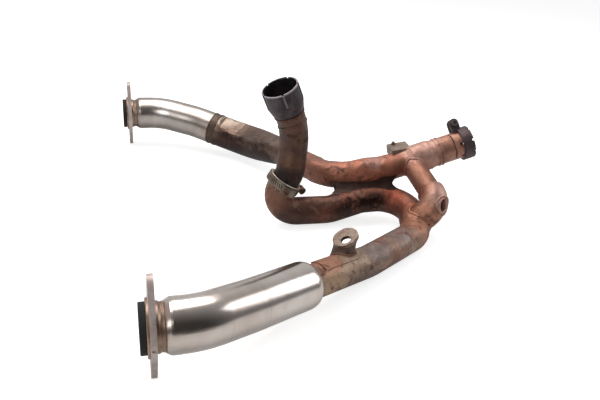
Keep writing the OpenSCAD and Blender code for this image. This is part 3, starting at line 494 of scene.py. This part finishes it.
for finish, parts in ((dark_clamp, ("outlet_band", "outlet_band_lugs")),
                      (clamp_screw, ("outlet_bolt", "outlet_nut")),
                      (light_clamp, ("elbow_band_lugs", "elbow_band_tab")),
                      (rusty_bolt, ("elbow_bolt", "elbow_nut", "elbow_band_rivet")),
                      (bracket_steel, ("tab_bracket", "tab_stud", "eye_plate")),
                      (weld_steel, ("cup_weld", "sleeve_weld", "eye_weld"))):
    for part in parts:
        dress(part, finish)

# The eye plate's post is one bent sheet: it hugs the front half of the plate's rim and
# flares down to the saddle, where it is welded on. It is painted a darker brown than the plate,
# as painted shade under the plate's rim.
post_shade_steel = burnt_tube("post_shade_steel", rgb(92, 72, 62), rgb(76, 58, 50), rgb(44, 33, 29), rgb(124, 88, 70))
dress("eye_post", post_shade_steel)
plate_up = Vector((-0.42, -0.05, 0.9)).normalized()
plate_front = (Vector((-0.25, -1, 0)) - plate_up * plate_up.dot((-0.25, -1, 0))).normalized()
eye_hole, hole_off, plate_depth = Vector((0.220129, 0.10737, 0.009573)), 0.0055, 0.0042
plate_under = eye_hole - plate_front * hole_off - plate_up * plate_depth
post_foot = Vector((0.21498, 0.1081, -0.0245))
post_up = (plate_under - post_foot).normalized()
foot_front = (Vector((-0.25, -1, 0)) - post_up * post_up.dot((-0.25, -1, 0))).normalized()
post_half, post_radius, post_sheet, post_waist = radians(104), 0.0145, 0.0022, 0.0011
post_drop = 0.06


def surface(*names):
    """The named nodes' faces, to drop points on."""
    points, faces = [], []
    for name in names:
        mesh = nodes[name].data
        faces += [[i + len(points) for i in f.vertices] for f in mesh.polygons]
        points += [v.co.copy() for v in mesh.vertices]
    return BVHTree.FromPolygons(points, faces)


def flat_sheet(name, columns, rows):
    """A grid of two by two metres, ready to be laid on a piece."""
    bpy.ops.object.select_all(action="DESELECT")
    bpy.ops.mesh.primitive_grid_add(x_subdivisions=columns, y_subdivisions=rows, size=2)
    sheet = bpy.context.object
    sheet.name = sheet.data.name = name
    return sheet


def face_outwards():
    """Turn the active piece's faces outwards."""
    bpy.ops.object.mode_set(mode="EDIT")
    bpy.ops.mesh.select_all(action="SELECT")
    bpy.ops.mesh.normals_make_consistent(inside=False)
    bpy.ops.object.mode_set(mode="OBJECT")


def thicken(sheet, thickness, offset):
    """Give the active sheet a wall."""
    wall = sheet.modifiers.new("wall", "SOLIDIFY")
    wall.thickness, wall.offset = thickness, offset
    bpy.ops.object.modifier_apply(modifier=wall.name)


post = flat_sheet("eye_post_sheet", 40, 14)
below = surface("eye_saddle", "near_pipe")
foot_line = []
for v in post.data.vertices:
    turn, down = v.co.x * post_half, (1 - v.co.y) / 2
    top = plate_under + (plate_front * cos(turn) + plate_up.cross(plate_front) * sin(turn)) * post_radius
    out = foot_front * cos(turn) + post_up.cross(foot_front) * sin(turn)
    start = post_foot + out * post_radius + post_up * post_drop
    foot = below.ray_cast(start, -post_up)[0] or post_foot + out * post_radius
    v.co = top.lerp(foot, down) - out * post_waist * sin(pi * down)
    if down > 0.999:
        foot_line.append((turn, v.co.copy()))
face_outwards()
post_front = (plate_under + post_foot) / 2 + foot_front * post_radius
front_face = min(post.data.polygons, key=lambda face: (face.center - post_front).length)
if front_face.normal.dot(foot_front) < 0:
    post.data.flip_normals()
thicken(post, post_sheet, -1)
bpy.ops.object.shade_smooth_by_angle(angle=radians(40))
post.data.materials.append(post_shade_steel)
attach(post, "root")
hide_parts("eye_post")

# The middle pipe is no longer round: heat and knocks have left it with shallow swells along
# its length, so it wears a skin that follows the tube and swells by a millimetre or two.
ring_step, ring_points, skin_length = 0.003, 56, 0.4
skin_gap, swell, fade_rings, skin_wall = 0.00012, 0.0021, 5, 0.0006
cast_from, broad_swells, small_swells = 0.03, 34, 90
mid_pipe = surface("far_mid_pipe")
centre, axis = Vector((0.238, 0.382, -0.0065)), Vector((0.278, -0.957, 0.08)).normalized()
side, rings = axis.orthogonal().normalized(), []
for k in range(int(skin_length / ring_step) + 1):
    side = (side - axis * side.dot(axis)).normalized()
    turns = [2 * pi * j / ring_points for j in range(ring_points)]
    outs = [side * cos(turn) + axis.cross(side) * sin(turn) for turn in turns]
    hits = [mid_pipe.ray_cast(centre + out * cast_from, -out)[0] for out in outs]
    if None in hits:
        break
    middle = sum(hits, Vector()) / ring_points
    if rings:
        axis = (middle - rings[-1][0]).normalized()
    rings.append((middle, hits, outs))
    centre = middle + axis * ring_step
last_ring = len(rings) - 1
skin = flat_sheet("mid_pipe_skin", ring_points, last_ring)
for v in skin.data.vertices:
    j, k = round((v.co.x + 1) / 2 * ring_points) % ring_points, round((v.co.y + 1) / 2 * last_ring)
    spot, out = rings[k][1][j], rings[k][2][j]
    fade = min(1, k / fade_rings, (last_ring - k) / fade_rings)
    lump = max(0, noise.noise(spot * broad_swells) + 0.35)
    lump += 0.4 * max(0, noise.noise(spot * small_swells + out) + 0.2)
    v.co = spot + out * (skin_gap + swell * fade * lump)
bpy.ops.object.mode_set(mode="EDIT")
bpy.ops.mesh.select_all(action="SELECT")
bpy.ops.mesh.remove_doubles(threshold=0.00001)
bpy.ops.object.mode_set(mode="OBJECT")
face_outwards()
face = skin.data.polygons[len(skin.data.polygons) // 2]
nearest = min(rings, key=lambda ring: (ring[0] - face.center).length)
if face.normal.dot(face.center - nearest[0]) < 0:
    skin.data.flip_normals()
thicken(skin, skin_wall, -1)
bpy.ops.object.shade_smooth_by_angle(angle=radians(50))
skin.data.materials.append(header_steel)
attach(skin, "root")

# The sheet web that joins the two crossing pipes has drawn into them: its front is a hollow
# fillet that thins out at both ends, painted as dark as the pipe below, as painted shade in the
# crevice between the pipes.
web_shade_steel = burnt_tube("web_shade_steel", rgb(66, 45, 39), rgb(50, 35, 31), rgb(34, 24, 22), rgb(92, 56, 44))
web_start, web_end = Vector((0.258, 0.276, -0.014)), Vector((0.356, 0.268, -0.004))
web_reach, web_top, web_foot = 0.0075, Vector((0, 0, 0.010)), Vector((0, 0, -0.012))
web_hollow, web_draw_in, web_wall = 0.0035, 0.16, 0.0016
above, under = surface("far_mid_pipe"), surface("under_pipe", "near_return_bend")
for side_name, facing in (("front", Vector((-0.1, -1, 0))), ("back", Vector((0.1, 1, 0)))):
    fillet = flat_sheet("web_fillet_" + side_name, 60, 14)
    facing = facing.normalized()
    for v in fillet.data.vertices:
        rise = v.co.y
        hollow = 1 - rise * rise
        spine = web_start.lerp(web_end, 0.5 + v.co.x / 2 * (1 - web_draw_in * hollow)) + facing * web_reach
        upper = above.find_nearest(spine + web_top)[0]
        lower = under.find_nearest(spine + web_foot)[0]
        v.co = lower.lerp(upper, (rise + 1) / 2) - facing * web_hollow * hollow
    thicken(fillet, web_wall, 0)
    face_outwards()
    bpy.ops.object.shade_smooth_by_angle(angle=radians(50))
    fillet.data.materials.append(web_shade_steel)
    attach(fillet, "root")
    if side_name == "front":
        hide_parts("pipe_web")

# Where tubes and sheets meet they are gas-welded by hand: each run is a low bead with its
# ripples a couple of millimetres apart, and it has rusted with the pipes. The step on the
# stub is a smooth one, rolled into the tube.
bead_points, bead_reach = 72, 0.045


def spokes(axis):
    """Directions all round an axis."""
    side = axis.orthogonal().normalized()
    turns = [2 * pi * k / bead_points for k in range(bead_points)]
    return [side * cos(turn) + axis.cross(side) * sin(turn) for turn in turns]


def round_tube(skin, centre, axis):
    """A ring of points on the outside of a tube, cast inwards from round it."""
    centre, axis = Vector(centre) / 1000, Vector(axis).normalized()
    hits = [skin.ray_cast(centre + out * bead_reach, -out)[0] for out in spokes(axis)]
    return [hit for hit in hits if hit is not None]


def tube_onto(skin, centre, axis, radius):
    """A ring of points where a tube of a radius in mm, running on along its axis, meets a surface."""
    centre, axis = Vector(centre) / 1000, Vector(axis).normalized()
    hits = [skin.ray_cast(centre + out * radius / 1000, axis)[0] for out in spokes(axis)]
    return [hit for hit in hits if hit is not None]


def weld_bead(name, line, width, pitch=2.2, finish=weld_steel, closed=True):
    """A bead along a line of points, a ring or an open run; width and pitch in mm."""
    bpy.ops.object.select_all(action="DESELECT")
    if closed:
        bpy.ops.mesh.primitive_torus_add(major_segments=4 * len(line), minor_segments=12, major_radius=1,
                                         minor_radius=0.3)
    else:
        bpy.ops.mesh.primitive_uv_sphere_add(segments=12, ring_count=4 * len(line), radius=1)
    bead = bpy.context.object
    bead.name = bead.data.name = name
    centre = sum(line, Vector()) / len(line)
    stretch = line + line[:1] if closed else line
    ripples = round(sum((b - a).length for a, b in zip(stretch, stretch[1:])) * 1000 / pitch)
    last = len(stretch) - 1
    for v in bead.data.vertices:
        if closed:
            share = (atan2(v.co.y, v.co.x) / (2 * pi)) % 1
            round_it = atan2(v.co.z, sqrt(v.co.x ** 2 + v.co.y ** 2) - 1)
            full = 1
        else:
            share = atan2(sqrt(v.co.x ** 2 + v.co.y ** 2), v.co.z) / pi
            round_it = atan2(v.co.y, v.co.x)
            full = min(1, sqrt(max(0, share * (1 - share))) * 5)
        k = min(int(share * last), last - 1)
        spine = stretch[k].lerp(stretch[k + 1], share * last - k)
        before, after = (line[k - 1], stretch[k + 1]) if closed else (stretch[max(k - 1, 0)], stretch[k + 1])
        run = (after - before).normalized()
        out = spine - centre
        out = (out - run * out.dot(run)).normalized()
        ripple = 0.13 * sin(2 * pi * share * ripples + 1.2 * cos(round_it))
        unsteady = 0.1 * sin(10 * pi * share + 1)
        radius = width / 2000 * (1 + ripple + unsteady) * full
        v.co = spine + (out * cos(round_it) + run.cross(out) * sin(round_it)) * radius
    face_outwards()
    bpy.ops.object.shade_smooth()
    bead.data.materials.append(finish)
    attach(bead, "root")
    return bead


weld_bead("crossover_bead", tube_onto(surface("collector"), (382.4, 230, 6.6), (-3.4, 58, 16.7), 15.5), 3.6,
          finish=header_steel)
weld_bead("boss_bead", tube_onto(surface("crossover_cup"), (402, 172, 4.6), (-28, 40, -11), 12.2), 3.0,
          finish=header_steel)
weld_bead("cup_bend_bead", tube_onto(surface("near_return_bend", "near_pipe"), (384.3, 199.2, -2.4),
                                     (-25.3, 8.8, -30.6), 19.5), 3.8, finish=header_steel)
foot_points = [point for turn, point in sorted(foot_line, key=lambda pair: pair[0])]
foot_bead = weld_bead("eye_foot_bead", foot_points, 3.4, closed=False)
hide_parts("eye_weld")
weld_bead("stub_step", round_tube(surface("stub_pipe"), (199, 270, 90), (-0.33, 0.1, 0.94)), 2.4, pitch=60,
          finish=stub_steel)

# The outlet has a second, lower ridge beside its rolled bead, and a dark ring lies in its
# rolled groove as painted shade. The elbow's socket ends in a thin bright lip above the clamp.
outlet_axis, outlet_foot = Vector((64, -5, 22)).normalized(), Vector((411.841, 285.325, 34.570))
ridge_at, groove_at, smooth_pitch = 9.5, 28.5, 80
outlet_skin = surface("outlet_pipe")
weld_bead("outlet_ridge", round_tube(outlet_skin, outlet_foot + outlet_axis * ridge_at, outlet_axis), 2.4,
          pitch=smooth_pitch, finish=header_steel)
# The dark ring in the rolled groove is painted shade.
weld_bead("outlet_groove_shade_ring", round_tube(outlet_skin, outlet_foot + outlet_axis * groove_at, outlet_axis), 1.3,
          pitch=smooth_pitch, finish=post_shade_steel)
bright_lip = burnt_tube("bright_lip_steel", rgb(206, 196, 182), rgb(168, 152, 138), umber, orange, mottle=0.4)
elbow_top, lip_inset = Vector((0.187358, 0.268197, 0.005486)), 0.0007
lip_rise = max((v.co - elbow_top).dot(elbow_axis) for v in nodes["stub_elbow"].data.vertices) - lip_inset
lip_centre = (elbow_top + elbow_axis * lip_rise) * 1000
weld_bead("elbow_lip", round_tube(surface("stub_elbow"), lip_centre, elbow_axis), 1.8, pitch=smooth_pitch,
          finish=bright_lip)
